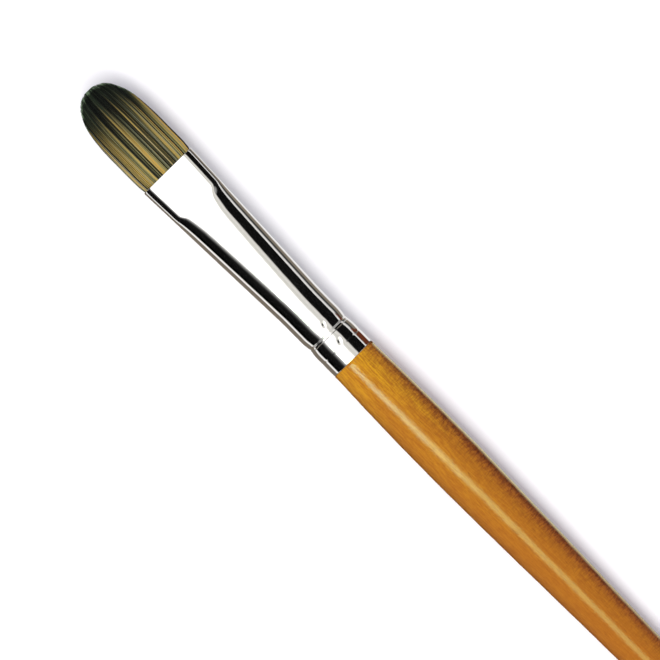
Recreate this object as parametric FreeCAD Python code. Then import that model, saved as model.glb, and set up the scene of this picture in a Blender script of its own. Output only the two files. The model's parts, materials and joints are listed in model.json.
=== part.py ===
import FreeCAD, Part
import math
import os

# A long-handled filbert paint brush, in millimetres, +Z up.
# It lies on its side with the flat of its tuft upwards, and rests on the handle's belly and
# tail. +X runs from the tuft towards the tail, and +Y across the width of the tuft.
# A "station" is a distance along the brush's own axis from the mouth of the ferrule:
# negative in the free tuft, positive in the ferrule and the handle.

V = FreeCAD.Vector

# ---- whole brush ----
OVERALL_LENGTH = 310.0       # tip of the tuft to the end of the tail

# ---- ferrule ----
FERRULE_LENGTH = 52.8
FERRULE_WALL = 0.3
TUBE_DIAMETER = 10.25
MOUTH_WIDTH = 13.1
MOUTH_THICKNESS = 4.7
PRESSED_LENGTH = 8.4         # flat-pressed length behind the mouth
SHOULDER_LENGTH = 5.6        # over which the thickness springs up from the flat
SHOULDER_SHARE = 0.77        # part of the growth in thickness that the shoulder takes
ROUND_LENGTH = 14.8          # of tube left round in front of the rear edge
CRIMP_FROM_REAR = 7.2
CRIMP_HALF_WIDTH = 1.7
CRIMP_DEPTH = 0.4
RING_FROM_REAR = 3.4         # faint second ring
RING_HALF_WIDTH = 0.8
RING_DEPTH = 0.08
ROUND_FROM = FERRULE_LENGTH - ROUND_LENGTH
CRIMP_AT = FERRULE_LENGTH - CRIMP_FROM_REAR
RING_AT = FERRULE_LENGTH - RING_FROM_REAR

# ---- tuft of filaments ----
TUFT_OUT = 22.6              # free length beyond the ferrule
TUFT_SIDE_GAP = 0.05         # the tuft is this much narrower than the mouth on each side
TUFT_FACE_GAP = 0.15         # and this much thinner on each face
TUFT_WIDTH = MOUTH_WIDTH - 2 * TUFT_SIDE_GAP
TUFT_THICKNESS = MOUTH_THICKNESS - 2 * TUFT_FACE_GAP
TUFT_STRAIGHT = 8.0          # length over which the sides stay parallel
TUFT_TIP_THICKNESS = 1.1
TUFT_SIDE_POWER = 2.9        # how late the outline rounds in
TUFT_END_POWER = 2.25        # how blunt the rounded end is
TUFT_BLUNTNESS = 1.3         # width of the very end over its thickness
CORE_SHARE = 1.0 / 3.0       # part of the thickness that the core layer takes

# ---- flexing of the tuft ----
FLEX_LIMIT = 22.0            # degrees each way
FLEX_CLEARANCE = 0.3         # gap between the moving filaments and the held ones
FLEX_SIDE_GAP = 0.15         # gap between the moving filaments and the inside of the mouth
FLEX_STEP = 0.4              # length over which the base swells to the tuft's full size
# The free tuft has a rounded base about its flex axis.
FLEX_ROLL_RADIUS = MOUTH_THICKNESS / 2 - FERRULE_WALL - FLEX_SIDE_GAP

# ---- filament setting ----
ROOT_LENGTH = 22.0           # filament length held inside the ferrule
GATHER_LENGTH = 4.6          # over which the held filaments draw together behind the flat
ROOT_SIDE_GAP = 0.925        # resin between the gathered filaments and the tube, at the sides
ROOT_FACE_GAP = 0.7278       # and above and below
EPOXY_FROM = PRESSED_LENGTH + GATHER_LENGTH
EPOXY_CAP = 2.5              # resin behind the filaments' root ends
THREAD_DIAMETER = 0.45
THREAD_TURNS = 5
THREAD_FROM_END = 3.5        # middle of the winding, from the filaments' root ends
THREAD_PITCH_SHARE = 0.85    # turns press into each other a little
THREAD_BITE = 0.08           # depth to which the thread sinks into the filaments
THREAD_AT = ROOT_LENGTH - THREAD_FROM_END

# ---- handle ----
HANDLE_STEP = 0.025          # the handle stands this far proud of the ferrule
HANDLE_FRONT_DIAMETER = TUBE_DIAMETER + 2 * HANDLE_STEP
BELLY_DIAMETER = 11.35
BELLY_BEHIND = 27.2          # thickest place, from the ferrule's rear edge
BELLY_LAND = 10.0            # straight cylinder at the thickest place
HANDLE_MID_BEHIND = 73.2
HANDLE_MID_DIAMETER = 9.7
TAIL_DIAMETER = 4.8
ADHESIVE_GAP = 0.15          # glue line between the tenon and the ferrule
TENON_LENGTH = 22.8
TENON_CHAMFER = 0.9
FRONT_BREAK = 0.12           # broken edge of the handle's shoulder
BELLY_AT = FERRULE_LENGTH + BELLY_BEHIND
HANDLE_MID_AT = FERRULE_LENGTH + HANDLE_MID_BEHIND

SECTION_POINTS = 48          # points on each closed cross-section

tail_end = OVERALL_LENGTH - TUFT_OUT
tail_radius = TAIL_DIAMETER / 2
flex_offset = TUFT_THICKNESS / 2 * math.sin(math.radians(FLEX_LIMIT)) + FLEX_CLEARANCE
tenon_start = FERRULE_LENGTH - TENON_LENGTH
tenon_radius = TUBE_DIAMETER / 2 - FERRULE_WALL - ADHESIVE_GAP
far = 4 * MOUTH_WIDTH        # size of cutting blocks, larger than any cross-section


# ---- cross-sections ----
def obround_points(width, thickness, count):
    """Points at even steps round a flat bar with half-round edges."""
    radius = thickness / 2
    half_flat = max(width / 2 - radius, 0.0)
    quarter_arc = math.pi * radius / 2
    perimeter = 4 * (half_flat + quarter_arc)
    points = []
    for i in range(count):
        walk = perimeter * i / count
        quadrant, along = divmod(walk, perimeter / 4)
        if quadrant % 2:
            along = perimeter / 4 - along
        if along < quarter_arc:
            angle = along / radius
            y, z = half_flat + radius * math.cos(angle), radius * math.sin(angle)
        else:
            y, z = half_flat - (along - quarter_arc), radius
        sign_y = -1 if quadrant in (1, 2) else 1
        sign_z = -1 if quadrant in (2, 3) else 1
        points.append((sign_y * y, sign_z * z))
    return points


def section(station, width, thickness):
    points = [V(station, y, z) for y, z in obround_points(width, thickness, SECTION_POINTS)]
    curve = Part.BSplineCurve()
    curve.interpolate(Points=points, PeriodicFlag=True)
    return Part.Wire([curve.toShape()])


def skin_through(sections):
    """Solid whose skin runs straight from each (station, width, thickness) to the next."""
    return Part.makeLoft([section(*row) for row in sections], True, True)


def layer_section(station, width, thickness, low, high):
    """Part of a flat bar's section between two heights, given as shares of half its thickness."""
    radius = thickness / 2
    half_flat = width / 2 - radius

    def on_side(share, side):
        return V(station, side * (half_flat + radius * math.sqrt(1 - share ** 2)), radius * share)

    middle = (low + high) / 2
    right = Part.Arc(on_side(low, 1), on_side(middle, 1), on_side(high, 1))
    left = Part.Arc(on_side(high, -1), on_side(middle, -1), on_side(low, -1))
    return Part.Wire([
        Part.LineSegment(on_side(low, -1), on_side(low, 1)).toShape(), right.toShape(),
        Part.LineSegment(on_side(high, 1), on_side(high, -1)).toShape(), left.toShape()])


def slab_between(first, last):
    """Block that holds everything between two stations."""
    return Part.makeBox(last - first, far, far, V(first, -far / 2, -far / 2))


# ---- ferrule ----
def tube_width(station):
    share = min(station / ROUND_FROM, 1.0)
    return MOUTH_WIDTH + (TUBE_DIAMETER - MOUTH_WIDTH) * share


def thickness_rows():
    """Outer (station, thickness) rows of the ferrule, from the mouth to where it is round."""
    growth = TUBE_DIAMETER - MOUTH_THICKNESS
    rows = [(0.0, MOUTH_THICKNESS), (PRESSED_LENGTH, MOUTH_THICKNESS)]
    for along, risen in ((0.14, 0.24), (0.28, 0.52), (0.43, 0.71), (0.64, 0.85), (1.0, 1.0)):
        rows.append((PRESSED_LENGTH + along * SHOULDER_LENGTH,
                     MOUTH_THICKNESS + growth * SHOULDER_SHARE * risen))
    shoulder_end = PRESSED_LENGTH + SHOULDER_LENGTH
    for along in (0.25, 0.5, 0.75, 1.0):
        left = (1 - along) ** 1.5
        rows.append((shoulder_end + along * (ROUND_FROM - shoulder_end),
                     TUBE_DIAMETER - growth * (1 - SHOULDER_SHARE) * left))
    return rows


def tube_thickness(station):
    rows = thickness_rows()
    for (before, thick), (after, thicker) in zip(rows, rows[1:]):
        if station <= after:
            return thick + (thicker - thick) * (station - before) / (after - before)
    return TUBE_DIAMETER


def ferrule_rows():
    """Outer (station, width, thickness) rows, from the mouth to the rear edge."""
    rows = [(station, tube_width(station), thick) for station, thick in thickness_rows()]
    for centre, half, depth in ((CRIMP_AT, CRIMP_HALF_WIDTH, CRIMP_DEPTH),
                                (RING_AT, RING_HALF_WIDTH, RING_DEPTH)):
        for place, sunk in ((-1, 0.0), (-0.5, 0.6), (0, 1.0), (0.5, 0.6), (1, 0.0)):
            diameter = TUBE_DIAMETER - 2 * depth * sunk
            rows.append((centre + place * half, diameter, diameter))
    rows.append((FERRULE_LENGTH, TUBE_DIAMETER, TUBE_DIAMETER))
    return rows


def cavity():
    """Inside of the ferrule, run on a little past both ends."""
    rows = [(s, w - 2 * FERRULE_WALL, t - 2 * FERRULE_WALL) for s, w, t in ferrule_rows()]
    overrun = FERRULE_WALL
    first = (-overrun,) + rows[0][1:]
    last = (FERRULE_LENGTH + overrun,) + rows[-1][1:]
    return skin_through([first] + rows[1:-1] + [last])


def ferrule():
    return skin_through(ferrule_rows()).cut(cavity())


# ---- handle ----
def handle():
    """Turned wood: a tenon for the ferrule, a swelling belly and a long taper to the tail."""
    front_radius = HANDLE_FRONT_DIAMETER / 2
    belly_radius = BELLY_DIAMETER / 2
    land_front = BELLY_AT - BELLY_LAND / 2
    land_rear = BELLY_AT + BELLY_LAND / 2
    swell_start = FERRULE_LENGTH + FRONT_BREAK
    tenon = [V(tenon_start, 0, 0), V(tenon_start, 0, tenon_radius - TENON_CHAMFER),
             V(tenon_start + 2 * TENON_CHAMFER, 0, tenon_radius)]
    for place, sunk in ((-1, 0.0), (-0.5, 0.6), (0, 1.0), (0.5, 0.6), (1, 0.0)):
        tenon.append(V(CRIMP_AT + place * CRIMP_HALF_WIDTH, 0, tenon_radius - CRIMP_DEPTH * sunk))
    tenon += [V(FERRULE_LENGTH, 0, tenon_radius), V(FERRULE_LENGTH, 0, front_radius - FRONT_BREAK),
              V(swell_start, 0, front_radius)]
    edges = [Part.LineSegment(a, b).toShape() for a, b in zip(tenon, tenon[1:])]

    swell_length = land_front - swell_start
    swell = Part.BSplineCurve()
    swell.interpolate(
        Points=[V(swell_start, 0, front_radius),
                V(swell_start + 0.45 * swell_length, 0,
                  front_radius + 0.62 * (belly_radius - front_radius)),
                V(land_front, 0, belly_radius)],
        InitialTangent=V(1, 0, 2.4 * (belly_radius - front_radius) / (2 * swell_length)),
        FinalTangent=V(1, 0, 0))
    edges.append(swell.toShape())
    edges.append(Part.LineSegment(V(land_front, 0, belly_radius),
                                  V(land_rear, 0, belly_radius)).toShape())

    taper_end = tail_end - tail_radius
    mid_radius = HANDLE_MID_DIAMETER / 2
    taper = Part.BSplineCurve()
    taper.interpolate(
        Points=[V(land_rear, 0, belly_radius),
                V(land_rear + 0.45 * (HANDLE_MID_AT - land_rear), 0,
                  mid_radius + 0.6 * (belly_radius - mid_radius)),
                V(HANDLE_MID_AT, 0, mid_radius),
                V((HANDLE_MID_AT + taper_end) / 2, 0, (mid_radius + tail_radius) / 2),
                V(taper_end, 0, tail_radius)],
        InitialTangent=V(1, 0, 0),
        FinalTangent=V(taper_end - HANDLE_MID_AT, 0, tail_radius - mid_radius).normalize())
    edges.append(taper.toShape())
    half_turn = math.radians(45)
    middle = V(taper_end + tail_radius * math.sin(half_turn), 0, tail_radius * math.cos(half_turn))
    edges.append(Part.Arc(V(taper_end, 0, tail_radius), middle, V(tail_end, 0, 0)).toShape())
    edges.append(Part.LineSegment(V(tail_end, 0, 0), V(tenon_start, 0, 0)).toShape())
    outline = Part.Face(Part.Wire(edges))
    return outline.revolve(V(0, 0, 0), V(1, 0, 0), 360)


def tenon_adhesive(hollow, wood):
    """Glue film between the tenon and the round part of the ferrule."""
    return hollow.common(slab_between(ROUND_FROM, FERRULE_LENGTH)).cut(wood)


# ---- filaments ----
def tuft_size(out):
    """Width and thickness of the free tuft at a distance out from the mouth."""
    along = out / TUFT_OUT
    thick = TUFT_THICKNESS + (TUFT_TIP_THICKNESS - TUFT_THICKNESS) * along ** 1.15
    turned = max(out - TUFT_STRAIGHT, 0.0) / (TUFT_OUT - TUFT_STRAIGHT)
    width = TUFT_WIDTH * (1 - turned ** TUFT_SIDE_POWER) ** (1 / TUFT_END_POWER)
    return max(width, TUFT_BLUNTNESS * thick), thick


def tuft_rows():
    """Rounded base, alike however it turns about the flex axis, then sides to a round end."""
    rows = []
    half_straight = (TUFT_WIDTH - TUFT_THICKNESS) / 2
    for angle in (78, 60, 40, 20, 0):
        half_thick = FLEX_ROLL_RADIUS * math.cos(math.radians(angle))
        station = FLEX_ROLL_RADIUS * math.sin(math.radians(angle)) - flex_offset
        rows.append((station, 2 * (half_straight + half_thick), 2 * half_thick))
    rounding = TUFT_OUT - TUFT_STRAIGHT
    outs = [flex_offset + FLEX_STEP, (flex_offset + TUFT_STRAIGHT) / 2]
    outs += [TUFT_STRAIGHT + rounding * share
             for share in (0.0, 0.25, 0.45, 0.6, 0.72, 0.82, 0.89, 0.94, 0.975, 1.0)]
    return rows + [(-out,) + tuft_size(out) for out in outs]


def tuft_layer(low, high):
    """Filaments of the free tuft between two heights, as shares of half its thickness."""
    return Part.makeLoft([layer_section(*row, low, high) for row in tuft_rows()], True, True)


# The gathered filaments leave room for resin round them.
ROOT_GATHERED_WIDTH = tube_width(ROOT_LENGTH) - 2 * (FERRULE_WALL + ROOT_SIDE_GAP)
ROOT_GATHERED_THICKNESS = tube_thickness(EPOXY_FROM) - 2 * (FERRULE_WALL + ROOT_FACE_GAP)


def filament_roots():
    """The same filaments inside the ferrule, filling its flat and gathered behind it."""
    flat_thick = MOUTH_THICKNESS - 2 * FERRULE_WALL
    front = FLEX_ROLL_RADIUS - flex_offset + FLEX_CLEARANCE
    rows = [(station, tube_width(station) - 2 * FERRULE_WALL, flat_thick)
            for station in (front, PRESSED_LENGTH)]
    rows += [(station, ROOT_GATHERED_WIDTH, ROOT_GATHERED_THICKNESS)
             for station in (EPOXY_FROM, ROOT_LENGTH)]
    return skin_through(rows)


def binding_thread():
    """Turns of thread round the gathered roots, each turn biting into the next."""
    radius = ROOT_GATHERED_THICKNESS / 2 + THREAD_DIAMETER / 2 - THREAD_BITE
    half_flat = (ROOT_GATHERED_WIDTH - ROOT_GATHERED_THICKNESS) / 2
    pitch = THREAD_DIAMETER * THREAD_PITCH_SHARE
    winding = None
    for i in range(THREAD_TURNS):
        x = THREAD_AT + (i - (THREAD_TURNS - 1) / 2) * pitch
        top, bottom = V(x, 0, radius), V(x, 0, -radius)
        shift = V(0, half_flat, 0)
        path = Part.Wire([
            Part.LineSegment(top - shift, top + shift).toShape(),
            Part.Arc(top + shift, V(x, half_flat + radius, 0), bottom + shift).toShape(),
            Part.LineSegment(bottom + shift, bottom - shift).toShape(),
            Part.Arc(bottom - shift, V(x, -half_flat - radius, 0), top - shift).toShape()])
        start = top - shift
        ring = Part.Wire([Part.makeCircle(THREAD_DIAMETER / 2, start, V(0, 1, 0))])
        turn = path.makePipeShell([ring], True, True)
        winding = turn if winding is None else winding.fuse(turn)
    return winding.removeSplitter()


def filament_epoxy(hollow, roots, thread):
    """Resin that soaks round the root ends and caps them behind."""
    plug = hollow.common(slab_between(EPOXY_FROM, ROOT_LENGTH + EPOXY_CAP))
    pieces = plug.cut(roots).cut(thread).Solids
    # What is left besides the plug is air trapped in the corners under the thread.
    return max(pieces, key=lambda solid: solid.Volume)


# ---- laying the brush down ----
def laid_down(shapes):
    """Tip the brush so that belly and tail touch Z = 0, centred in X and Y."""
    land_rear = BELLY_AT + BELLY_LAND / 2
    reach = tail_end - tail_radius - land_rear
    drop = BELLY_DIAMETER / 2
    straight = math.hypot(reach, drop)
    tilt = math.asin(drop / straight) - math.asin(tail_radius / straight)
    for shape in shapes.values():
        shape.rotate(V(0, 0, 0), V(0, 1, 0), math.degrees(tilt))
    boxes = [shape.optimalBoundingBox(False, False) for shape in shapes.values()]
    low_x = min(box.XMin for box in boxes)
    high_x = max(box.XMax for box in boxes)
    low_z = min(box.ZMin for box in boxes)
    shift = V(-(low_x + high_x) / 2, 0, -low_z)
    for shape in shapes.values():
        shape.translate(shift)
    turned = FreeCAD.Placement(shift, FreeCAD.Rotation(V(0, 1, 0), math.degrees(tilt)))
    return turned


def build():
    hollow = cavity()
    wood = handle()
    thread = binding_thread()
    roots = filament_roots()
    return {
        "handle": wood,
        "ferrule": ferrule(),
        "tenon_adhesive": tenon_adhesive(hollow, wood),
        "filament_roots": roots.cut(thread),
        "filament_epoxy": filament_epoxy(hollow, roots, thread),
        "binding_thread": thread,
        "tuft_upper_face": tuft_layer(CORE_SHARE, 1.0),
        "tuft_core": tuft_layer(-CORE_SHARE, CORE_SHARE),
        "tuft_lower_face": tuft_layer(-1.0, -CORE_SHARE),
    }


def main():
    os.makedirs("parts", exist_ok=True)
    shapes = build()
    placement = laid_down(shapes)
    for name, shape in shapes.items():
        box = shape.optimalBoundingBox(False, False)
        print(f"{name}: {len(shape.Solids)} solid(s), {shape.Volume:.1f} mm3, valid {shape.isValid()}, "
              f"X {box.XMin:.2f}..{box.XMax:.2f} Z {box.ZMin:.2f}..{box.ZMax:.2f}")
        shape.exportStep(f"parts/{name}.step")
    axis = placement.Rotation.multVec(V(1, 0, 0))
    print("axis towards the tail", axis)
    print("flex axis at", placement.multVec(V(-flex_offset, 0, 0)))
    print("middle of the belly land at", placement.multVec(V(BELLY_AT, 0, 0)))


main()
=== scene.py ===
"""Looks of the filbert brush: mirror ferrule, lacquered handle and a tuft of single filaments."""
import math

import bpy
import numpy as np
from mathutils import Matrix, Vector
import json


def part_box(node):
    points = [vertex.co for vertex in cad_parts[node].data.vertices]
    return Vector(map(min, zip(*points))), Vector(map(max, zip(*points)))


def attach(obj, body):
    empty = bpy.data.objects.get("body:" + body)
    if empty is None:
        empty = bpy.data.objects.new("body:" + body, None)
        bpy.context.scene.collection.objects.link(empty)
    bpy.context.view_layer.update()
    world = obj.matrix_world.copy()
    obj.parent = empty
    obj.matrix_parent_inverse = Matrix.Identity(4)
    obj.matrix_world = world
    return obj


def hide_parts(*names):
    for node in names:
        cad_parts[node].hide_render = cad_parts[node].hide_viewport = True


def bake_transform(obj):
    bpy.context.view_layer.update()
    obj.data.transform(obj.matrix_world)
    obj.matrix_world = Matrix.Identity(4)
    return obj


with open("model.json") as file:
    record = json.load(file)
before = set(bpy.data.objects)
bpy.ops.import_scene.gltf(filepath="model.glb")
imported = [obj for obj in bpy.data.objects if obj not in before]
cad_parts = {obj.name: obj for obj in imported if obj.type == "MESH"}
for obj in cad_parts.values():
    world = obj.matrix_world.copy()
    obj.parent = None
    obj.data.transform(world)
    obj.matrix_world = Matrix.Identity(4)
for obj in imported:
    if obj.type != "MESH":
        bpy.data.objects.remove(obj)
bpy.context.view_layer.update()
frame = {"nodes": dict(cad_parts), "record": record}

MM = 0.001

# ---- sizes, in millimetres, along the brush's own axis from the ferrule's mouth ----
MOUTH_WIDTH = 13.1
MOUTH_THICKNESS = 4.7
TUBE_DIAMETER = 10.25
WALL = 0.3
PRESSED_LENGTH = 8.4
SHOULDER_LENGTH = 5.6
SHOULDER_SHARE = 0.77
ROUND_FROM = 38.0
CRIMP_AT = 45.6
CRIMP_HALF_WIDTH = 1.7
CRIMP_DEPTH = 0.4
RING_AT = 49.4
RING_DEPTH = 0.06
TUFT_OUT = 22.6
TUFT_WIDTH = 13.0
TUFT_THICKNESS = 4.4
TUFT_TIP_THICKNESS = 1.1
TUFT_STRAIGHT = 8.0
TUFT_SIDE_POWER = 2.9
TUFT_END_POWER = 2.25
CORE_SHARE = 1.0 / 3.0
TENON_CHAMFER = 0.9
ADHESIVE_GAP = 0.15          # glue line between the tenon and the ferrule
FRONT_BREAK = 0.12           # broken edge of the handle's shoulder
HANDLE_FRONT_DIAMETER = 10.3
BELLY_DIAMETER = 11.35
BELLY_AT = 80.0
BELLY_LAND = 10.0
HANDLE_MID_AT = 126.0
HANDLE_MID_DIAMETER = 9.7
TAIL_DIAMETER = 4.8

# ---- the brush's own frame: its axis comes from the grip mount, its start from the ferrule ----
grip = next(m for m in frame["record"]["mounts"] if m["name"] == "grip")
AXIS = Vector(grip["axis"]).normalized()
SIDE = Vector((0, 1, 0))
UP = AXIS.cross(SIDE)


def station_span(node):
    """Lowest and highest place of a CAD node along the brush's axis, from the grip, in metres."""
    reach = [(v.co - Vector(grip["pos_m"])).dot(AXIS) for v in frame["nodes"][node].data.vertices]
    return min(reach), max(reach)


ferrule_start, ferrule_end = station_span("ferrule")
FERRULE_LENGTH = (ferrule_end - ferrule_start) / MM
TAIL_END = (station_span("handle")[1] - ferrule_start) / MM
TENON_START = (station_span("handle")[0] - ferrule_start) / MM
MOUTH = Vector(grip["pos_m"]) + AXIS * ferrule_start
BRUSH = Matrix((
    (AXIS.x * MM, SIDE.x * MM, UP.x * MM, MOUTH.x),
    (AXIS.y * MM, SIDE.y * MM, UP.y * MM, MOUTH.y),
    (AXIS.z * MM, SIDE.z * MM, UP.z * MM, MOUTH.z),
    (0, 0, 0, 1)))


def at_station(station, y=0.0, z=0.0):
    """Point in the part's frame, in metres, of a place given in the brush's own millimetres."""
    return BRUSH @ Vector((station, y, z))


# ---- meshes ----
def new_piece(name, verts, faces):
    """Object from vertices in the brush's own millimetres."""
    mesh = bpy.data.meshes.new(name)
    mesh.from_pydata(np.asarray(verts).tolist(), [], faces)
    mesh.transform(BRUSH)
    mesh.update()
    mesh.shade_smooth()
    piece = bpy.data.objects.new(name, mesh)
    bpy.context.scene.collection.objects.link(piece)
    return piece


def ring_faces(rings, count, closed=False):
    """Quads between neighbouring rings of count points each."""
    around = np.arange(count)
    after = (around + 1) % count
    rows = np.arange(rings if closed else rings - 1)[:, None]
    upper = (rows + 1) % rings
    quads = np.stack([rows * count + around, rows * count + after,
                      upper * count + after, upper * count + around], axis=-1)
    return quads.reshape(-1, 4)


# ---- ferrule ----
RING_POINTS = 232
PROFILE_STEP = 0.05
GROOVE_WIDTH = 0.14          # of the sharp line at the bottom of the crimp
GROOVE_SHARE = 0.3           # part of the crimp's depth that the sharp line takes
DIP_WIDTH = 1.15             # of the soft dip round it
DIP_SHARE = 0.5
BEAD_OFFSET = 2.3            # low beads that the roller pushes up on both sides
BEAD_WIDTH = 0.8
BEAD_HEIGHT = 0.015
FAINT_RING_WIDTH = 0.13
# Small punch marks: station, sideways place, depth and reach.
PUNCH_MARKS = ((43.7, 0.66, 0.17, 0.34), (48.3, 0.58, 0.22, 0.4))
PRESS_RIPPLE = 0.0025        # slight unevenness of pressed tube


def smoothed(stations, sizes, blur):
    """Sizes as a smooth function of station, from a few rows."""
    fine = np.arange(stations[0], stations[-1] + PROFILE_STEP, PROFILE_STEP)
    line = np.interp(fine, stations, sizes)
    reach = int(4 * blur / PROFILE_STEP)
    bell = np.exp(-0.5 * (np.arange(-reach, reach + 1) * PROFILE_STEP / blur) ** 2)
    padded = np.pad(line, reach, mode="edge")
    return fine, np.convolve(padded, bell / bell.sum(), mode="valid")


def ferrule_thickness_rows():
    growth = TUBE_DIAMETER - MOUTH_THICKNESS
    rows = [(0.0, MOUTH_THICKNESS), (PRESSED_LENGTH, MOUTH_THICKNESS)]
    for along, risen in ((0.14, 0.24), (0.28, 0.52), (0.43, 0.71), (0.64, 0.85), (1.0, 1.0)):
        rows.append((PRESSED_LENGTH + along * SHOULDER_LENGTH,
                     MOUTH_THICKNESS + growth * SHOULDER_SHARE * risen))
    shoulder_end = PRESSED_LENGTH + SHOULDER_LENGTH
    for along in (0.25, 0.5, 0.75, 1.0):
        rows.append((shoulder_end + along * (ROUND_FROM - shoulder_end),
                     TUBE_DIAMETER - growth * (1 - SHOULDER_SHARE) * (1 - along) ** 1.5))
    rows.append((FERRULE_LENGTH, TUBE_DIAMETER))
    return zip(*rows)


def crimp_sink(stations):
    """How far the two rolled rings sink the surface, with a low bead each side of the deep one."""
    groove = np.exp(-((stations - CRIMP_AT) / GROOVE_WIDTH) ** 2) * CRIMP_DEPTH * GROOVE_SHARE
    dip = np.exp(-((stations - CRIMP_AT) / DIP_WIDTH) ** 2) * CRIMP_DEPTH * DIP_SHARE
    beads = sum(np.exp(-((stations - CRIMP_AT - side * BEAD_OFFSET) / BEAD_WIDTH) ** 2)
                for side in (-1, 1))
    faint = np.exp(-((stations - RING_AT) / FAINT_RING_WIDTH) ** 2) * RING_DEPTH
    return groove + dip - BEAD_HEIGHT * beads + faint


def obround_ring(width, thickness):
    """Points at even steps round a flat bar with half-round edges, as (y, z) rows."""
    radius = thickness / 2
    half_flat = max(width / 2 - radius, 0.0)
    arc = math.pi * radius / 2
    quarter = half_flat + arc
    walk = np.arange(RING_POINTS) / RING_POINTS * 4 * quarter
    quadrant = np.floor(walk / quarter + 1e-9).astype(int)
    along = walk - quadrant * quarter
    along = np.where(quadrant % 2 == 1, quarter - along, along)
    angle = np.clip(along / radius, 0, math.pi / 2)
    y = half_flat + radius * np.cos(angle) - np.clip(along - arc, 0, None)
    z = radius * np.sin(angle)
    return np.where((quadrant == 1) | (quadrant == 2), -y, y), np.where(quadrant >= 2, -z, z)


def make_ferrule():
    fine, thick = smoothed(*map(list, ferrule_thickness_rows()), 0.32)
    wide_fine, wide = smoothed([0.0, ROUND_FROM, FERRULE_LENGTH],
                               [MOUTH_WIDTH, TUBE_DIAMETER, TUBE_DIAMETER], 1.2)
    outer = np.concatenate([np.arange(0.06, PRESSED_LENGTH - 1, 0.5),
                            np.arange(PRESSED_LENGTH - 1, 18, 0.16),
                            np.arange(18, CRIMP_AT - 4, 0.5),
                            np.arange(CRIMP_AT - 4, CRIMP_AT - 0.6, 0.12),
                            np.arange(CRIMP_AT - 0.6, CRIMP_AT + 0.6, 0.04),
                            np.arange(CRIMP_AT + 0.6, RING_AT - 0.4, 0.12),
                            np.arange(RING_AT - 0.4, RING_AT + 0.4, 0.04),
                            np.arange(RING_AT + 0.4, FERRULE_LENGTH - 0.06, 0.12)])
    inner = np.concatenate([np.arange(FERRULE_LENGTH - 0.1, 2, -0.9), np.arange(2, 0, -0.4)])
    loop = [(s, 0.0) for s in outer]
    loop += [(FERRULE_LENGTH - 0.01, 0.03), (FERRULE_LENGTH, 0.1), (FERRULE_LENGTH, WALL - 0.05)]
    loop += [(s, WALL) for s in inner]
    loop += [(0.05, WALL), (0.0, WALL - 0.06), (-0.03, WALL / 2), (0.0, 0.06)]
    verts = []
    for station, inset in loop:
        sink = inset + float(crimp_sink(np.array([station]))[0])
        width = float(np.interp(station, wide_fine, wide)) - 2 * sink
        thickness = float(np.interp(station, fine, thick)) - 2 * sink
        y, z = obround_ring(max(width, thickness), thickness)
        verts.append(np.column_stack([np.full(RING_POINTS, station), y, z]))
    verts = np.concatenate(verts)
    dent_ferrule(verts)
    piece = new_piece("ferrule_shell", verts,
                      ring_faces(len(loop), RING_POINTS, closed=True)[:, ::-1].tolist())
    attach(piece, "brush")
    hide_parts("ferrule")
    return piece


def dent_ferrule(verts):
    """Two small punch marks beside the rings, and the slight unevenness of pressed tube."""
    up = verts[:, 2] > 0
    for station, y, depth, reach in PUNCH_MARKS:
        # The marks are longer along the brush than across it, and lean a little.
        lean = (verts[:, 0] - station) * 0.35
        away = ((verts[:, 0] - station) / (1.5 * reach)) ** 2
        away += ((verts[:, 1] - y + lean) / reach) ** 2
        verts[:, 2] -= depth * np.exp(-away) * up
    ripple = (np.sin(verts[:, 0] * 0.9 + verts[:, 1] * 0.7)
              + 0.6 * np.sin(verts[:, 0] * 2.1 - verts[:, 1] * 1.3 + 1.0))
    verts[:, 2] += PRESS_RIPPLE * ripple


# ---- handle ----
HANDLE_POINTS = 144
EVEN_FRONT = 1.0             # length behind the ferrule over which the turning stays even
UNEVEN_ROOM = 0.028          # the waves stay inside the turned size by this much


def handle_profile():
    """(station, radius) rows of the turned wood, from the front of the tenon to the tail."""
    front, belly = HANDLE_FRONT_DIAMETER / 2, BELLY_DIAMETER / 2
    middle, tail = HANDLE_MID_DIAMETER / 2, TAIL_DIAMETER / 2
    tenon = TUBE_DIAMETER / 2 - WALL - ADHESIVE_GAP
    land_front, land_rear = BELLY_AT - BELLY_LAND / 2, BELLY_AT + BELLY_LAND / 2
    swell = land_front - FERRULE_LENGTH
    taper_end = TAIL_END - tail
    stations = [FERRULE_LENGTH, FERRULE_LENGTH + 0.45 * swell, land_front, land_rear,
                land_rear + 0.45 * (HANDLE_MID_AT - land_rear), HANDLE_MID_AT,
                (HANDLE_MID_AT + taper_end) / 2, taper_end]
    radii = [front, front + 0.64 * (belly - front), belly, belly,
             middle + 0.62 * (belly - middle), middle, (middle + tail) / 2, tail]
    fine, smooth = smoothed(stations, radii, 2.4)
    smooth += np.interp(fine, stations, radii)[0] - smooth[0]
    body = [(s, float(np.interp(s, fine, smooth)))
            for s in np.arange(FERRULE_LENGTH + FRONT_BREAK, taper_end, 0.5)]
    dip = [(CRIMP_AT + place * CRIMP_HALF_WIDTH, tenon - CRIMP_DEPTH * sunk)
           for place, sunk in ((-1, 0), (-0.5, 0.6), (0, 1), (0.5, 0.6), (1, 0))]
    rows = [(TENON_START, tenon - TENON_CHAMFER),
            (TENON_START + 2 * TENON_CHAMFER, tenon)] + dip
    rows += [(FERRULE_LENGTH + 0.005, tenon), (FERRULE_LENGTH + 0.005, front - FRONT_BREAK),
             (FERRULE_LENGTH + 0.04, front - 0.04)]
    rows += body
    rows += [(taper_end + tail * math.sin(a), tail * math.cos(a))
             for a in np.radians(np.arange(6, 90, 6))]
    return rows


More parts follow.
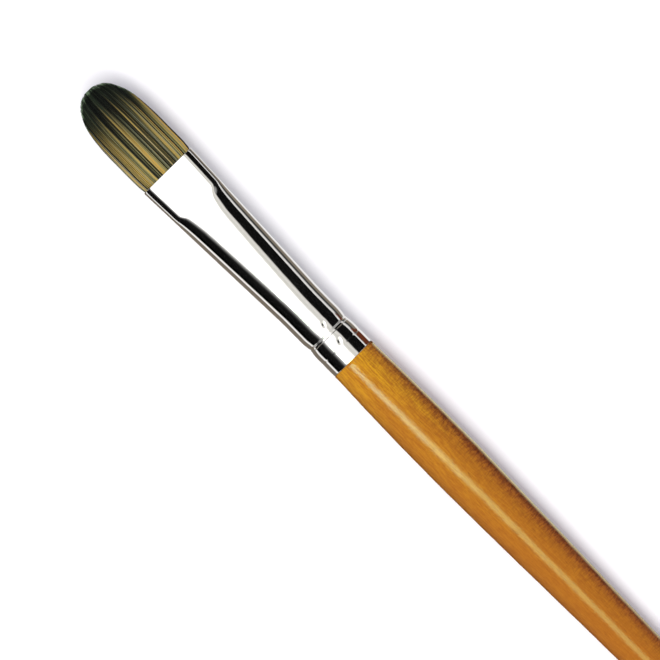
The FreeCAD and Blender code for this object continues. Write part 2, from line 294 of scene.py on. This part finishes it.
def make_handle():
    rows = handle_profile()
    turn = np.arange(HANDLE_POINTS) / HANDLE_POINTS * 2 * math.pi
    verts = []
    for station, radius in rows:
        r = radius
        behind = station - FERRULE_LENGTH - EVEN_FRONT
        if behind > 0:
            waves = (0.010 * np.sin(station * 0.55 + 2 * turn)
                     + 0.008 * np.sin(station * 1.3 - turn)
                     + 0.006 * np.sin(station * 0.23 + 3 * turn + 1.2)
                     + 0.004 * np.sin(station * 2.9 + turn))
            # They fade in behind the ferrule and out toward the tail.
            waves = waves * min(behind / 6, 1.0) * min(max((TAIL_END - station) / 8, 0.0), 1.0)
            r = radius - UNEVEN_ROOM + waves
        verts.append(np.column_stack([np.full(HANDLE_POINTS, station),
                                      r * np.cos(turn), r * np.sin(turn)]))
    verts = np.concatenate(verts + [np.array([[TAIL_END, 0, 0], [TENON_START, 0, 0]])])
    faces = ring_faces(len(rows), HANDLE_POINTS)[:, ::-1].tolist()
    last = (len(rows) - 1) * HANDLE_POINTS
    tip, start = len(verts) - 2, len(verts) - 1
    for i in range(HANDLE_POINTS):
        after = (i + 1) % HANDLE_POINTS
        faces.append([last + after, last + i, tip])
        faces.append([i, after, start])
    piece = new_piece("handle_turned", verts, faces)
    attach(piece, "brush")
    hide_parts("handle")
    return piece


# ---- tuft ----
FILAMENT_SIDES = 5
FILAMENT_RINGS = 13
ROOT_INSIDE = 1.6            # how far the modelled filaments reach into the ferrule
TIP_SHARE = 0.976            # beyond this share of its length a filament is its own fine tip
FILAMENT_RADIUS = 0.072
FOLLOW = 0.5                 # how far a filament follows the outline inward
OUTLINE_ROOM = 0.01          # filaments stay inside the outline by this much


def outline_half_width(out):
    turned = np.clip((out - TUFT_STRAIGHT) / (TUFT_OUT - TUFT_STRAIGHT), 0, 1)
    return TUFT_WIDTH / 2 * (1 - turned ** TUFT_SIDE_POWER) ** (1 / TUFT_END_POWER)


def tuft_half_thickness(out):
    along = np.clip(out / TUFT_OUT, 0, 1)
    return (TUFT_THICKNESS + (TUFT_TIP_THICKNESS - TUFT_THICKNESS) * along ** 1.15) / 2


def filament_lengths(side_share, follow):
    """Free length at which a filament meets the rounded outline."""
    ratio = np.abs(side_share) * (1 - follow) / (1 - follow * np.abs(side_share))
    turned = (1 - np.clip(ratio, 0, 1) ** TUFT_END_POWER) ** (1 / TUFT_SIDE_POWER)
    return TUFT_STRAIGHT + (TUFT_OUT - TUFT_STRAIGHT) * turned


def slow_noise(values, scale, seed, octaves=3):
    """Smooth noise in one dimension, about -1 to 1."""
    local = np.random.default_rng(seed)
    total = np.zeros_like(values)
    for octave in range(octaves):
        knots = local.uniform(-1, 1, 400)
        place = values / scale * 2 ** octave + 200
        total += np.interp(place, np.arange(400), knots) / 1.6 ** octave
    return total / 1.6


def make_filaments(name, node, count, low, high, seed):
    """One layer of the tuft as single tapered filaments, between two shares of its thickness."""
    local = np.random.default_rng(seed)
    share = low + (high - low) * local.uniform(0, 1, count)
    side = local.uniform(-1, 1, count)
    flat = (TUFT_WIDTH - TUFT_THICKNESS) / TUFT_WIDTH
    # The ends of the section are half-round, so filaments thin out towards them.
    room = np.where(np.abs(side) > flat,
                    np.sqrt(np.clip(1 - ((np.abs(side) - flat) / (1 - flat)) ** 2, 0, 1)), 1)
    share = share * room
    lengths = filament_lengths(side, FOLLOW)
    notch = np.clip(slow_noise(side * TUFT_WIDTH / 2 + 0.3 * share, 0.2, 41, octaves=2), 0, 1)
    short = np.abs(local.normal(0, 0.35, count)) * (1.3 - np.abs(share)) + 1.1 * notch
    lengths = np.clip(lengths - short, 6, TUFT_OUT - 0.08)
    fraction = np.append(np.linspace(0, 1, FILAMENT_RINGS - 1) ** 0.9 * TIP_SHARE, 1.0)
    reach = lengths[:, None] + ROOT_INSIDE
    out = -ROOT_INSIDE + reach * fraction[None, :]
    spread = (1 - FOLLOW) * TUFT_WIDTH / 2 + FOLLOW * outline_half_width(out)
    gathered = 1 - 0.05 * np.exp(-np.clip(out, 0, None) / 0.7)
    radius_root = FILAMENT_RADIUS * local.uniform(0.8, 1.2, count)
    y = side[:, None] * (spread * gathered - radius_root[:, None])
    z = share[:, None] * (tuft_half_thickness(out) * gathered - radius_root[:, None])
    # Neighbours lean together a little, and each filament has its own bend.
    rise = np.clip(out / TUFT_OUT, 0, 1) ** 1.6
    clump = slow_noise(side * TUFT_WIDTH / 2 + share * 0.9, 0.45, 5)
    y += rise * (0.16 * clump[:, None] + local.normal(0, 0.035, count)[:, None])
    phase = local.uniform(0, 2 * math.pi, count)[:, None]
    y += 0.018 * np.sin(out * 0.5 + phase) * np.clip(out / 3, 0, 1)
    z += rise * local.normal(0, 0.04, count)[:, None]
    edge = outline_half_width(out) - OUTLINE_ROOM
    y = np.clip(y, -edge, edge)
    own = fraction[None, :]
    radius = radius_root[:, None] * np.interp(own, [0, 0.55, 0.9, 1], [1, 0.95, 0.55, 0.22])
    turn = np.arange(FILAMENT_SIDES) / FILAMENT_SIDES * 2 * math.pi
    ring_y = y[..., None] + radius[..., None] * np.cos(turn)
    ring_z = z[..., None] + radius[..., None] * np.sin(turn)
    ring_s = np.broadcast_to(-out[..., None], ring_y.shape)
    verts = np.stack([ring_s, ring_y, ring_z], axis=-1).reshape(-1, 3)
    tips = np.stack([-out[:, -1] - 0.06, y[:, -1], z[:, -1]], axis=-1)
    per = FILAMENT_RINGS * FILAMENT_SIDES
    quads = ring_faces(FILAMENT_RINGS, FILAMENT_SIDES)
    tint = filament_tints(side * TUFT_WIDTH / 2, share, local)
    late = 0.26 * slow_noise(side * TUFT_WIDTH / 2 + 0.2 * share, 0.15, 43, octaves=2)
    faces, uvs = [], []
    for i in range(count):
        start = i * per
        faces += (quads + start).tolist()
        faces.append((np.arange(FILAMENT_SIDES)[::-1] + start).tolist())
        last = start + per - FILAMENT_SIDES
        for k in range(FILAMENT_SIDES):
            faces.append([last + k, last + (k + 1) % FILAMENT_SIDES, count * per + i])
        uvs.append(filament_uvs(tint[i], out[i], late[i]))
    piece = new_piece(name, np.concatenate([verts, tips]), faces)
    layer = piece.data.uv_layers.new(name="OFBake")
    layer.data.foreach_set("uv", np.concatenate(uvs).ravel().astype(np.float32))
    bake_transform(piece)
    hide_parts(node)
    return piece


TIP_BAND = 0.93              # the map above this height is the pale end of each filament


def filament_uvs(tint, out, late):
    """Map place of every face corner: across is the filament's tint, up how far its dye has come."""
    half = 0.0016
    across = tint + np.linspace(-half, half, FILAMENT_SIDES + 1)
    up = (out + ROOT_INSIDE) / (TUFT_OUT + ROOT_INSIDE) * (TIP_BAND - 0.02)
    up = np.clip(up - late * np.clip(3 * up * (1 - up), 0, 1), 0, TIP_BAND - 0.02)
    rows = []
    for ring in range(FILAMENT_RINGS - 1):
        a, b = up[ring], up[ring + 1]
        if ring == FILAMENT_RINGS - 2:
            a, b = TIP_BAND, 0.985
        for k in range(FILAMENT_SIDES):
            rows += [(across[k], a), (across[k + 1], a), (across[k + 1], b), (across[k], b)]
    rows += [(across[k], up[0]) for k in range(FILAMENT_SIDES)][::-1]
    for k in range(FILAMENT_SIDES):
        rows += [(across[k], 0.985), (across[k + 1], 0.985), (across[k], 0.998)]
    return np.array(rows)


def filament_tints(y, share, local):
    """Place in the tint ramp: gold, olive and dark filaments lie in uneven stripes, with thin
    near-black lines between them that are partly dark filaments and partly painted shade of the gaps
    between clumps.
    """
    stripe = slow_noise(y + 0.3 * share, 0.36, 21, octaves=2)
    fine = slow_noise(y, 0.11, 22, octaves=1)
    tint = 0.54 + 0.34 * stripe + 0.36 * fine + local.normal(0, 0.06, len(y))
    # Painted shade: filaments where the clumps part are tinted near black, partly for dark filaments
    # and partly for the shade in the gaps.
    dark_lines_and_gap_shade = slow_noise(y + 0.1 * share, 0.1, 23, octaves=1)
    tint = np.where(dark_lines_and_gap_shade > 0.26, 0.02 + 0.3 * (0.62 - np.clip(dark_lines_and_gap_shade, 0, 0.62)), tint)
    odd = local.uniform(0, 1, len(y))
    tint = np.where(odd < 0.1, local.uniform(0.02, 0.14, len(y)), tint)
    tint = np.where(odd > 0.94, local.uniform(0.9, 0.98, len(y)), tint)
    return np.clip(tint, 0.01, 0.99)


# ---- materials ----
class Nodes:
    """Short calls for building a node tree."""

    def __init__(self, tree):
        self.tree = tree

    def add(self, kind, **settings):
        node = self.tree.nodes.new(kind)
        for key, value in settings.items():
            if key in node.inputs:
                node.inputs[key].default_value = value
            else:
                setattr(node, key, value)
        return node

    def link(self, source, target):
        self.tree.links.new(source, target)

    def math(self, operation, a, b=None, clamp=False):
        node = self.tree.nodes.new("ShaderNodeMath")
        node.operation = operation
        node.use_clamp = clamp
        for socket, value in zip(node.inputs, (a, b)):
            if value is None:
                continue
            if isinstance(value, (int, float)):
                socket.default_value = value
            else:
                self.link(value, socket)
        return node.outputs[0]

    def ramp(self, factor, stops):
        node = self.tree.nodes.new("ShaderNodeValToRGB")
        elements = node.color_ramp.elements
        while len(elements) < len(stops):
            elements.new(0.5)
        for element, (position, colour) in zip(elements, stops):
            element.position = position
            element.color = (*colour, 1)
        self.link(factor, node.inputs["Fac"])
        return node.outputs["Color"]

    def mix(self, factor, a, b, blend="MIX"):
        node = self.tree.nodes.new("ShaderNodeMix")
        node.data_type = "RGBA"
        node.blend_type = blend
        for socket, value in ((node.inputs[0], factor), (node.inputs[6], a), (node.inputs[7], b)):
            if isinstance(value, (int, float)):
                socket.default_value = value
            elif isinstance(value, tuple):
                socket.default_value = (*value, 1)
            else:
                self.link(value, socket)
        return node.outputs[2]

    def noise(self, vector, scale, detail=3.0, roughness=0.5, stretch=(1, 1, 1)):
        mapping = self.tree.nodes.new("ShaderNodeMapping")
        mapping.inputs["Scale"].default_value = stretch
        self.link(vector, mapping.inputs["Vector"])
        node = self.tree.nodes.new("ShaderNodeTexNoise")
        node.inputs["Scale"].default_value = scale
        node.inputs["Detail"].default_value = detail
        node.inputs["Roughness"].default_value = roughness
        self.link(mapping.outputs["Vector"], node.inputs["Vector"])
        return node.outputs["Fac"]


def new_material(name):
    material = bpy.data.materials.new(name)
    material.use_nodes = True
    nodes = Nodes(material.node_tree)
    shader = material.node_tree.nodes["Principled BSDF"]
    return material, nodes, shader


def nickel():
    material, n, shader = new_material("bright_nickel")
    place = n.add("ShaderNodeTexCoord").outputs["Object"]
    rub = n.noise(place, 1.0, 4, 0.6, stretch=(900, 4000, 4000))
    n.link(n.ramp(rub, [(0.35, (0.80, 0.785, 0.755)), (0.65, (0.86, 0.85, 0.825))]),
           shader.inputs["Base Color"])
    shader.inputs["Metallic"].default_value = 1.0
    haze = n.noise(place, 1.0, 3, 0.55, stretch=(120, 500, 500))
    n.link(n.ramp(haze, [(0.3, (0.05,) * 3), (0.75, (0.1,) * 3)]), shader.inputs["Roughness"])
    bump = n.add("ShaderNodeBump", Strength=0.03, Distance=0.0001)
    n.link(n.noise(place, 1.0, 2, 0.5, stretch=(700, 2500, 2500)), bump.inputs["Height"])
    n.link(bump.outputs["Normal"], shader.inputs["Normal"])
    return material


def lacquered_wood():
    material, n, shader = new_material("lacquered_wood")
    place = n.add("ShaderNodeTexCoord").outputs["Object"]
    apart = n.add("ShaderNodeSeparateXYZ")
    n.link(place, apart.inputs["Vector"])
    low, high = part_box("handle")
    along = n.math("DIVIDE", n.math("SUBTRACT", apart.outputs["X"], low.x), high.x - low.x)
    drift = n.noise(place, 1.0, 2, 0.5, stretch=(25, 190, 190))
    place_in_ramp = n.math("ADD", along, n.math("MULTIPLY", n.math("SUBTRACT", drift, 0.5), 0.3))
    # Painted light fall-off: lighter and yellower near the ferrule, darker toward the tail; the drift
    # noise varies it at random.
    tone = n.ramp(place_in_ramp, [(0.04, (0.66, 0.350, 0.013)), (0.17, (0.45, 0.185, 0.013)),
                                  (0.4, (0.39, 0.136, 0.013)), (0.9, (0.34, 0.108, 0.012))])
    # Painted shade: the side away from the key light is darkened, and over more of it toward the
    # tail.
    reach = n.math("ADD", n.math("MULTIPLY", along, 0.62), 0.9)
    side = n.math("MULTIPLY", n.math("MULTIPLY", apart.outputs["Y"], reach),
                  1 / (BELLY_DIAMETER / 2 * MM))
    grain = n.noise(place, 1.0, 4, 0.7, stretch=(420, 3200, 3200))
    tone = n.mix(n.ramp(grain, [(0.36, (0.75,) * 3), (0.60, (0, 0, 0))]), tone,
                 (0.30, 0.090, 0.010))
    streak = n.noise(place, 1.0, 3, 0.6, stretch=(50, 900, 900))
    tone = n.mix(n.ramp(streak, [(0.40, (0.30,) * 3), (0.60, (0, 0, 0))]), tone,
                 (0.33, 0.110, 0.010))
    # Dark figure flecks, laid thickest on that side: partly the wood's figure, partly painted shade.
    fleck = n.noise(place, 1.0, 3, 0.65, stretch=(3400, 700, 700))
    figure_and_painted_shade = n.math("MULTIPLY", n.ramp(fleck, [(0.40, (0, 0, 0)), (0.60, (1, 1, 1))]),
                     n.ramp(side, [(0.05, (0.06,) * 3), (0.45, (0.28,) * 3),
                                   (0.9, (0.85,) * 3)]))
    tone = n.mix(figure_and_painted_shade, tone, (0.13, 0.028, 0.008))
    # Painted shade: the colour is multiplied darker across the side away from the key light, and a
    # little at the other edge.
    shade = n.ramp(n.math("ADD", n.math("MULTIPLY", side, 0.5), 0.5),
                   [(0.06, (0.88, 0.84, 1)), (0.16, (1, 1, 1)), (0.76, (1, 1, 1)),
                    (0.84, (0.92, 0.82, 1)), (0.92, (0.62, 0.46, 0.8)), (0.98, (0.5, 0.35, 0.7))])
    tone = n.mix(1.0, tone, shade, "MULTIPLY")
    pores = n.noise(place, 1.0, 1, 0.5, stretch=(500, 5200, 5200))
    tone = n.mix(n.ramp(pores, [(0.69, (0, 0, 0)), (0.74, (0.5, 0.5, 0.5))]), tone,
                 (0.16, 0.05, 0.01))
    n.link(tone, shader.inputs["Base Color"])
    shader.inputs["Roughness"].default_value = 0.42
    shader.inputs["Specular IOR Level"].default_value = 0.05
    shader.inputs["Coat Weight"].default_value = 1.0
    shader.inputs["Coat Roughness"].default_value = 0.08
    shader.inputs["Coat IOR"].default_value = 1.5
    bump = n.add("ShaderNodeBump", Strength=0.25, Distance=0.00003)
    n.link(grain, bump.inputs["Height"])
    n.link(bump.outputs["Normal"], shader.inputs["Normal"])
    peel = n.add("ShaderNodeBump", Strength=0.9, Distance=0.00003)
    n.link(n.noise(place, 1.0, 3, 0.65, stretch=(1900, 3200, 3200)), peel.inputs["Height"])
    n.link(peel.outputs["Normal"], shader.inputs["Coat Normal"])
    return material


def filament():
    material, n, shader = new_material("dyed_filament")
    uv = n.add("ShaderNodeUVMap", uv_map="OFBake").outputs["UV"]
    apart = n.add("ShaderNodeSeparateXYZ")
    n.link(uv, apart.inputs["Vector"])
    tint, up = apart.outputs["X"], apart.outputs["Y"]
    body = n.ramp(tint, [
        (0.0, (0.008, 0.008, 0.005)), (0.16, (0.022, 0.022, 0.013)), (0.30, (0.090, 0.092, 0.048)),
        (0.46, (0.24, 0.225, 0.090)), (0.64, (0.42, 0.315, 0.085)), (0.82, (0.60, 0.35, 0.062)),
        (0.92, (0.28, 0.26, 0.18)), (1.0, (0.18, 0.22, 0.14))])
    uneven = n.noise(uv, 1.0, 3, 0.6, stretch=(55, 2.2, 1))
    level = n.math("ADD", up, n.math("MULTIPLY", n.math("SUBTRACT", uneven, 0.5), 0.28))
    dyed = n.ramp(level, [(0.20, (0, 0, 0)), (0.28, (0.08,) * 3), (0.36, (0.22,) * 3),
                          (0.45, (0.36,) * 3), (0.54, (0.55,) * 3), (0.63, (0.84,) * 3),
                          (0.70, (0.97,) * 3), (0.76, (1, 1, 1))])
    dark = n.ramp(tint, [(0.0, (0.001, 0.001, 0.001)), (0.45, (0.003, 0.004, 0.003)),
                         (0.7, (0.012, 0.018, 0.010)), (1.0, (0.04, 0.055, 0.030))])
    colour = n.mix(dyed, body, dark)
    pale = n.math("MULTIPLY", n.ramp(up, [(TIP_BAND - 0.012, (0, 0, 0)),
                                          (TIP_BAND - 0.002, (0.3,) * 3),
                                          (TIP_BAND + 0.04, (1, 1, 1))]),
                  n.ramp(tint, [(0.35, (0.05,) * 3), (0.65, (1, 1, 1))]))
    colour = n.mix(pale, colour, (0.20, 0.29, 0.17))
    n.link(colour, shader.inputs["Base Color"])
    shader.inputs["Roughness"].default_value = 0.42
    shader.inputs["Specular IOR Level"].default_value = 0.15
    return material


def resin():
    material, n, shader = new_material("amber_resin")
    place = n.add("ShaderNodeTexCoord").outputs["Object"]
    cloud = n.noise(place, 1.0, 3, 0.5, stretch=(400, 400, 400))
    n.link(n.ramp(cloud, [(0.3, (0.62, 0.42, 0.14)), (0.7, (0.75, 0.55, 0.24))]),
           shader.inputs["Base Color"])
    shader.inputs["Roughness"].default_value = 0.25
    return material


def cotton():
    material, n, shader = new_material("cotton_thread")
    place = n.add("ShaderNodeTexCoord").outputs["Object"]
    twist = n.noise(place, 1.0, 3, 0.6, stretch=(3000, 3000, 3000))
    n.link(n.ramp(twist, [(0.3, (0.62, 0.56, 0.42)), (0.7, (0.82, 0.77, 0.63))]),
           shader.inputs["Base Color"])
    shader.inputs["Roughness"].default_value = 0.85
    return material


def root_filament():
    """The same dyed filament where it is gathered inside the ferrule."""
    material, n, shader = new_material("gathered_filament")
    place = n.add("ShaderNodeTexCoord").outputs["Object"]
    strand = n.noise(place, 1.0, 3, 0.7, stretch=(60, 5000, 5000))
    n.link(n.ramp(strand, [(0.36, (0.03, 0.03, 0.017)), (0.5, (0.19, 0.175, 0.07)),
                           (0.64, (0.40, 0.26, 0.055))]), shader.inputs["Base Color"])
    shader.inputs["Roughness"].default_value = 0.5
    return material


def dress_cad(node, material):
    for slot in frame["nodes"][node].material_slots:
        slot.material = material


def dress(piece, material):
    piece.data.materials.clear()
    piece.data.materials.append(material)


# ---- studio ----
SHOT_WIDTH = 0.132           # metres across the picture, at the height of the brush's axis
SHOT_TURN = 45.35            # degrees that the brush points down to the right
SHOT_CENTRE = (45.5, 0.75)   # station and sideways place at the middle of the picture
CAMERA_HEIGHT = 2.4
FLOOR_COLOUR = (0.93, 0.93, 0.93)
AMBIENT = (0.79, 0.775, 0.845)
KEY_POWER = 6.7              # watts
BOX_HEIGHT = 0.30            # of the softbox over the table
STRIP_DROP = 0.015           # the strip hangs this far below the softbox, clear of its shadow
TABLE_CARD = 0.0006          # height of the cards that lie on the table
TOP_CARD = 0.0009            # height of the small cards that lie on those
WALL_HEIGHT = 0.022          # of the low walls at the far sides


def make_camera():
    data = bpy.data.cameras.new("camera")
    data.sensor_width = 36.0
    centre = at_station(*SHOT_CENTRE)
    data.lens = data.sensor_width * CAMERA_HEIGHT / SHOT_WIDTH
    camera = bpy.data.objects.new("camera", data)
    camera.location = centre + Vector((0, 0, CAMERA_HEIGHT))
    camera.rotation_euler = (0, 0, math.radians(SHOT_TURN))
    data.clip_start, data.clip_end = 0.05, 20
    bpy.context.scene.collection.objects.link(camera)
    bpy.context.scene.camera = camera


def plain_mesh(name, verts, faces):
    mesh = bpy.data.meshes.new(name)
    mesh.from_pydata(verts, [], faces)
    piece = bpy.data.objects.new(name, mesh)
    bpy.context.scene.collection.objects.link(piece)
    return piece


def make_floor():
    half = 6.0
    floor = plain_mesh("floor", [(-half, -half, 0), (half, -half, 0), (half, half, 0),
                                 (-half, half, 0)], [(0, 1, 2, 3)])
    material, _, shader = new_material("floor_paper")
    shader.inputs["Base Color"].default_value = (*FLOOR_COLOUR, 1)
    shader.inputs["Roughness"].default_value = 0.9
    shader.inputs["Specular IOR Level"].default_value = 0.0
    floor.data.materials.append(material)


def make_card(name, verts, faces, across, stops, along=None, not_on=()):
    """Glowing studio card that only mirror reflections see. Its glow runs across one axis."""
    card = plain_mesh(name, verts, faces)
    material = bpy.data.materials.new(name)
    material.use_nodes = True
    tree = material.node_tree
    tree.nodes.clear()
    n = Nodes(tree)
    apart = n.add("ShaderNodeSeparateXYZ")
    n.link(n.add("ShaderNodeTexCoord").outputs["Object"], apart.inputs["Vector"])
    glow = graded(n, apart.outputs[across], stops)
    if along:
        glow = n.mix(1.0, glow, graded(n, apart.outputs["X"], along), "MULTIPLY")
    emission = n.add("ShaderNodeEmission")
    n.link(glow, emission.inputs["Color"])
    output = n.add("ShaderNodeOutputMaterial")
    n.link(emission.outputs[0], output.inputs["Surface"])
    card.data.materials.append(material)
    card.visible_camera = False
    card.visible_diffuse = False
    card.visible_shadow = False
    card.visible_transmission = False
    if not_on:
        left_out = bpy.data.collections.new(name + "_left_out")
        for piece in not_on:
            left_out.objects.link(piece)
        card.light_linking.receiver_collection = left_out
        for link in left_out.collection_objects:
            link.light_linking.link_state = "EXCLUDE"


def graded(n, value, stops):
    """Colour ramp over real distances: stops are (metres, colour)."""
    first, last = stops[0][0], stops[-1][0]
    share = n.math("DIVIDE", n.math("SUBTRACT", value, first), last - first, clamp=True)
    return n.ramp(share, [((place - first) / (last - first), colour) for place, colour in stops])


def grey(level):
    return (level, level, level)


def make_softbox(handle):
    """The long softbox over the brush, dimmer along its right side and soft along its left."""
    def at(degrees):
        return BOX_HEIGHT * math.tan(math.radians(degrees))

    stops = [(at(-60), grey(0.0)), (at(-53), grey(0.04)), (at(-46), grey(0.22)),
             (at(-41), grey(0.7)), (at(-36), grey(1.6)), (at(8), grey(1.6)),
             (at(14), (0.85, 0.84, 0.81)), (at(20), (0.74, 0.73, 0.69)),
             (at(28), (0.86, 0.85, 0.82)), (at(34), (0.82, 0.81, 0.78)), (at(38.5), grey(0.0))]
    low, high, reach = stops[0][0], stops[-1][0], 1.6
    verts = [(-reach, low, BOX_HEIGHT), (reach, low, BOX_HEIGHT), (reach, high, BOX_HEIGHT),
             (-reach, high, BOX_HEIGHT)]
    make_card("softbox", verts, [(0, 3, 2, 1)], "Y", stops, not_on=[handle])


def make_strip():
    """The slanting strip whose reflection runs down the handle."""
    height = BOX_HEIGHT - STRIP_DROP
    verts, faces = [], []
    for x, lean, half in ((-0.094, 27.8, 8.5), (-0.0875, 27.5, 9.0), (-0.073, 25.8, 10.5),
                          (-0.0455, 20.6, 12.0), (-0.017, 15.6, 12.5), (0.0195, 13.6, 12.5),
                          (0.2, 12.0, 12.0)):
        for edge in (-half, half):
            verts.append((x, -height * math.tan(math.radians(lean + edge)), height))
    for i in range(len(verts) // 2 - 1):
        a = 2 * i
        faces.append((a, a + 2, a + 3, a + 1))
    glow = [(-0.094, (8.6, 13.0, 10.0)), (-0.0875, (8.0, 12.0, 9.0)), (-0.073, (5.2, 8.2, 4.9)),
            (-0.0455, (3.7, 5.6, 2.9)), (-0.017, (3.1, 4.9, 1.9)), (0.0195, (2.6, 3.9, 1.4)),
            (0.2, (2.4, 3.6, 1.3))]
    make_card("strip", verts, faces, "X", glow)


def make_side_cards(handle, ferrule):
    """What lies on the table beside the brush, as the ferrule's edges and the handle's rim see it."""
    left = [(-0.30, grey(0.0)), (-0.048, grey(0.0)), (-0.036, grey(1.0)), (-0.023, grey(1.1)),
            (-0.020, (0.20, 0.17, 0.135)), (-0.006, (0.22, 0.19, 0.155))]
    right = [(0.006, grey(1.0)), (0.0118, grey(0.9)), (0.0128, (0.25, 0.21, 0.17)),
             (0.021, (0.25, 0.215, 0.17)), (0.025, grey(0.05)), (0.045, grey(0.05)),
             (0.062, grey(0.75)), (0.28, grey(0.8)), (0.3, grey(1.0))]
    z = TABLE_CARD
    for name, stops in (("card_left", left), ("card_right", right)):
        low, high = stops[0][0], stops[-1][0]
        # A low wall at the far side stands at the ferrule's horizon: dark left, light right.
        far = high if high > 0.1 else low
        verts = [(-0.6, low, z), (0.6, low, z), (0.6, high, z), (-0.6, high, z),
                 (0.6, far, WALL_HEIGHT), (-0.6, far, WALL_HEIGHT)]
        faces = [(0, 1, 2, 3), (3, 2, 4, 5) if far == high else (1, 0, 5, 4)]
        make_card(name, verts, faces, "Y", stops, not_on=[handle])
    z = TOP_CARD
    start = -0.0793
    make_card("card_rim", [(start, 0.0064, z), (0.1, 0.0064, z), (0.1, 0.0125, z),
                           (start, 0.0125, z)], [(0, 1, 2, 3)], "Y",
              [(0.0064, (1.3, 1.25, 0.75)), (0.0125, (1.3, 1.2, 0.65))], not_on=[ferrule])
    make_card("card_brown", [(-0.0832, 0.0125, z), (-0.0755, 0.0125, z), (-0.0755, 0.09, z),
                             (-0.0832, 0.09, z)], [(0, 1, 2, 3)], "Y",
              [(0.0125, (0.14, 0.036, 0.016)), (0.09, (0.10, 0.024, 0.011))], not_on=[handle])


def make_key():
    """Broad soft key from the left, for light and shadow only."""
    lean, distance = math.radians(-17.0), 0.9
    data = bpy.data.lights.new("key", "AREA")
    data.shape = "RECTANGLE"
    data.size, data.size_y = 0.7, 0.40
    data.energy = KEY_POWER
    data.color = (1.0, 0.985, 0.96)
    key = bpy.data.objects.new("key", data)
    key.location = (-0.04, math.sin(lean) * distance, math.cos(lean) * distance)
    key.rotation_euler = (lean, 0, 0)
    key.visible_glossy = False
    key.visible_camera = False
    bpy.context.scene.collection.objects.link(key)


def make_world():
    """Soft ambient for matt surfaces, and a dark room with light ends for mirror reflections."""
    world = bpy.data.worlds.new("studio")
    bpy.context.scene.world = world
    world.use_nodes = True
    tree = world.node_tree
    tree.nodes.clear()
    n = Nodes(tree)
    apart = n.add("ShaderNodeSeparateXYZ")
    n.link(n.add("ShaderNodeTexCoord").outputs["Generated"], apart.inputs["Vector"])
    length = n.math("ABSOLUTE", apart.outputs["X"])
    room = n.ramp(length, [(0.55, grey(0.004)), (0.8, grey(0.55)), (1.0, grey(0.8))])
    mirrored = n.add("ShaderNodeBackground")
    n.link(room, mirrored.inputs["Color"])
    ambient = n.add("ShaderNodeBackground")
    ambient.inputs["Color"].default_value = (*AMBIENT, 1)
    seen = n.add("ShaderNodeBackground")
    seen.inputs["Color"].default_value = (0.93, 0.93, 0.94, 1)
    path = n.add("ShaderNodeLightPath")
    matt = n.add("ShaderNodeMixShader")
    n.link(path.outputs["Is Glossy Ray"], matt.inputs["Fac"])
    n.link(ambient.outputs[0], matt.inputs[1])
    n.link(mirrored.outputs[0], matt.inputs[2])
    choose = n.add("ShaderNodeMixShader")
    n.link(path.outputs["Is Camera Ray"], choose.inputs["Fac"])
    n.link(matt.outputs[0], choose.inputs[1])
    n.link(seen.outputs[0], choose.inputs[2])
    output = n.add("ShaderNodeOutputWorld")
    n.link(choose.outputs[0], output.inputs["Surface"])


def main():
    handle = make_handle()
    dress(handle, lacquered_wood())
    ferrule = make_ferrule()
    dress(ferrule, nickel())
    hair = filament()
    for name, node, count, low, high, seed in (
            ("filaments_upper", "tuft_upper_face", 1450, CORE_SHARE, 1.0, 31),
            ("filaments_core", "tuft_core", 1200, -CORE_SHARE, CORE_SHARE, 32),
            ("filaments_lower", "tuft_lower_face", 1450, -1.0, -CORE_SHARE, 33)):
        dress(make_filaments(name, node, count, low, high, seed), hair)
    glue = resin()
    dress_cad("filament_roots", root_filament())
    dress_cad("filament_epoxy", glue)
    dress_cad("tenon_adhesive", glue)
    dress_cad("binding_thread", cotton())
    make_floor()
    make_softbox(handle)
    make_strip()
    make_side_cards(handle, ferrule)
    make_key()
    make_world()
    make_camera()
    scene = bpy.context.scene
    scene.view_settings.view_transform = "Standard"
    scene.view_settings.look = "None"


main()

import json
